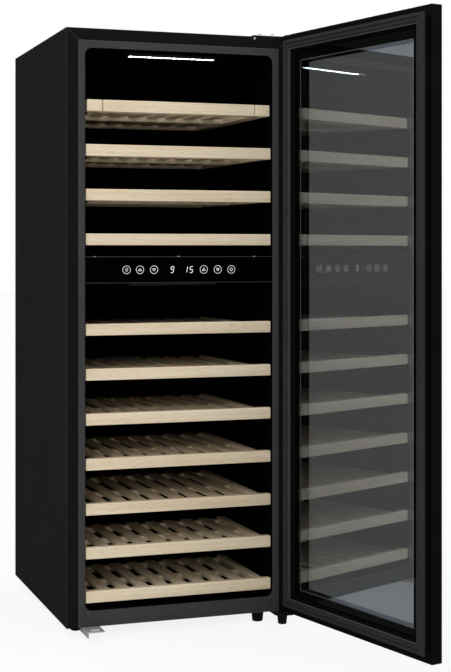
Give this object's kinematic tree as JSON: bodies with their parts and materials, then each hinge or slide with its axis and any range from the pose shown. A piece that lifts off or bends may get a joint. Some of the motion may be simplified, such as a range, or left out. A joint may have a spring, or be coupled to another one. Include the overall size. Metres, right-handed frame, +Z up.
{
  "type": "wine cooler",
  "caption": "Tall freestanding dual-zone wine cooler with a glass door that hangs open, slatted wooden shelves, a control panel between its zones and a lit black interior.",
  "frame": {"origin": "bottom centre of the bounding box with the door as shown, on the floor under the feet", "axes": "+Z up, -Y out of the cabinet front, +X to the side of the door hinge"},
  "size_m": [0.7328, 1.2538, 1.5277],
  "materials": {
    "casing_black_paint": "satin black paint",
    "zinc_plated_steel": "zinc-plated sheet",
    "kick_panel_grey": "satin dark grey",
    "liner_black_plastic": "matt black moulded liner",
    "insulation_foam": "rigid foam",
    "compressor_black_paint": "black enamel",
    "aluminium_fins": "plain fins",
    "moulded_black_plastic": "moulded, fine grain",
    "control_panel_black_gloss": "polished black",
    "lamp_diffuser": "lit diffuser",
    "hinge_black_paint": "black paint",
    "foot_black_plastic": "moulded",
    "door_frame_black": "satin black",
    "tinted_door_glass": "tinted, with a black printed border",
    "inner_door_glass": "clear, coated",
    "gasket_grey_rubber": "ribbed dark grey",
    "beech_wood": "pale, oiled"
  },
  "bodies": {
    "cabinet": {"base_pan": "zinc_plated_steel", "compressor": "compressor_black_paint", "compressor_cover": "casing_black_paint", "condenser": "aluminium_fins", "control_panel": "control_panel_black_gloss", "corner_bracket": "zinc_plated_steel", "duct_cover": "moulded_black_plastic", "evaporator_lower": "aluminium_fins", "evaporator_upper": "aluminium_fins", "hinge_bracket_bottom": "hinge_black_paint", "hinge_bracket_top": "hinge_black_paint", "inner_liner": "liner_black_plastic", "insulation_base": "insulation_foam", "insulation_left": "insulation_foam", "insulation_rear": "insulation_foam", "insulation_right": "insulation_foam", "insulation_top": "insulation_foam", "kick_panel": "kick_panel_grey", "light_bar_lower": "lamp_diffuser", "light_bar_upper": "lamp_diffuser", "mains_inlet": "moulded_black_plastic", "rear_panel": "zinc_plated_steel", "side_panel_left": "casing_black_paint", "side_panel_right": "casing_black_paint", "top_panel": "casing_black_paint", "zone_divider": "moulded_black_plastic"},
    "door": {"door_frame": "door_frame_black", "door_outer_glass": "tinted_door_glass", "door_inner_glass": "inner_door_glass", "door_gasket": "gasket_grey_rubber"},
    "shelf_01": {"shelf_tray_01": "beech_wood", "shelf_front_01": "beech_wood"},
    "shelf_02": {"shelf_tray_02": "beech_wood", "shelf_front_02": "beech_wood"},
    "shelf_03": {"shelf_tray_03": "beech_wood", "shelf_front_03": "beech_wood"},
    "shelf_04": {"shelf_tray_04": "beech_wood", "shelf_front_04": "beech_wood"},
    "shelf_05": {"shelf_tray_05": "beech_wood", "shelf_front_05": "beech_wood"},
    "shelf_06": {"shelf_tray_06": "beech_wood", "shelf_front_06": "beech_wood"},
    "shelf_07": {"shelf_tray_07": "beech_wood", "shelf_front_07": "beech_wood"},
    "shelf_08": {"shelf_tray_08": "beech_wood", "shelf_front_08": "beech_wood"},
    "shelf_09": {"shelf_tray_09": "beech_wood", "shelf_front_09": "beech_wood"},
    "shelf_10": {"shelf_tray_10": "beech_wood", "shelf_front_10": "beech_wood"},
    "shelf_11": {"shelf_tray_11": "beech_wood", "shelf_front_11": "beech_wood"},
    "upper_fan_rotor": {"fan_upper": "moulded_black_plastic"},
    "lower_fan_rotor": {"fan_lower": "moulded_black_plastic"},
    "condenser_fan_rotor": {"condenser_fan": "moulded_black_plastic"},
    "foot_front_left_screw": {"foot_front_left": "foot_black_plastic"},
    "foot_front_right_screw": {"foot_front_right": "foot_black_plastic"},
    "foot_rear_left_screw": {"foot_rear_left": "foot_black_plastic"},
    "foot_rear_right_screw": {"foot_rear_right": "foot_black_plastic"},
    "foot_hinge_screw": {"foot_hinge": "foot_black_plastic"}
  },
  "joints": [
    {"name": "door_hinge", "type": "hinge", "parent": "cabinet", "child": "door", "pos_m": [0.21964, -0.05265, 0.027], "axis": [0, 0, 1], "range_deg": [-102.8, 12.2]},
    {"name": "shelf_01_slide", "type": "slide", "parent": "cabinet", "child": "shelf_01", "axis": [0, -1, 0], "range_m": [0, 0.25]},
    {"name": "shelf_02_slide", "type": "slide", "parent": "cabinet", "child": "shelf_02", "axis": [0, -1, 0], "range_m": [0, 0.25]},
    {"name": "shelf_03_slide", "type": "slide", "parent": "cabinet", "child": "shelf_03", "axis": [0, -1, 0], "range_m": [0, 0.25]},
    {"name": "shelf_04_slide", "type": "slide", "parent": "cabinet", "child": "shelf_04", "axis": [0, -1, 0], "range_m": [0, 0.25]},
    {"name": "shelf_05_slide", "type": "slide", "parent": "cabinet", "child": "shelf_05", "axis": [0, -1, 0], "range_m": [0, 0.25]},
    {"name": "shelf_06_slide", "type": "slide", "parent": "cabinet", "child": "shelf_06", "axis": [0, -1, 0], "range_m": [0, 0.25]},
    {"name": "shelf_07_slide", "type": "slide", "parent": "cabinet", "child": "shelf_07", "axis": [0, -1, 0], "range_m": [0, 0.25]},
    {"name": "shelf_08_slide", "type": "slide", "parent": "cabinet", "child": "shelf_08", "axis": [0, -1, 0], "range_m": [0, 0.25]},
    {"name": "shelf_09_slide", "type": "slide", "parent": "cabinet", "child": "shelf_09", "axis": [0, -1, 0], "range_m": [0, 0.25]},
    {"name": "shelf_10_slide", "type": "slide", "parent": "cabinet", "child": "shelf_10", "axis": [0, -1, 0], "range_m": [0, 0.15]},
    {"name": "shelf_11_slide", "type": "slide", "parent": "cabinet", "child": "shelf_11", "axis": [0, -1, 0], "range_m": [0, 0.15]},
    {"name": "upper_fan_spin", "type": "hinge", "parent": "cabinet", "child": "upper_fan_rotor", "pos_m": [-0.06886, 0.53135, 1.3254], "axis": [0, 1, 0], "continuous": true},
    {"name": "lower_fan_spin", "type": "hinge", "parent": "cabinet", "child": "lower_fan_rotor", "pos_m": [-0.06886, 0.53135, 0.7354], "axis": [0, 1, 0], "continuous": true},
    {"name": "condenser_fan_spin", "type": "hinge", "parent": "cabinet", "child": "condenser_fan_rotor", "pos_m": [-0.19136, 0.54785, 0.1083], "axis": [0, 1, 0], "continuous": true},
    {"name": "foot_front_left_turn", "type": "hinge", "parent": "cabinet", "child": "foot_front_left_screw", "pos_m": [-0.32136, 0.06185, 0], "axis": [0, 0, 1], "continuous": true},
    {"name": "foot_front_right_turn", "type": "hinge", "parent": "cabinet", "child": "foot_front_right_screw", "pos_m": [0.14964, -0.00215, 0], "axis": [0, 0, 1], "continuous": true},
    {"name": "foot_rear_left_turn", "type": "hinge", "parent": "cabinet", "child": "foot_rear_left_screw", "pos_m": [-0.30636, 0.57185, 0], "axis": [0, 0, 1], "continuous": true},
    {"name": "foot_rear_right_turn", "type": "hinge", "parent": "cabinet", "child": "foot_rear_right_screw", "pos_m": [0.16864, 0.57185, 0], "axis": [0, 0, 1], "continuous": true},
    {"name": "foot_hinge_turn", "type": "hinge", "parent": "cabinet", "child": "foot_hinge_screw", "pos_m": [0.19964, -0.05215, 0], "axis": [0, 0, 1], "continuous": true}
  ]
}
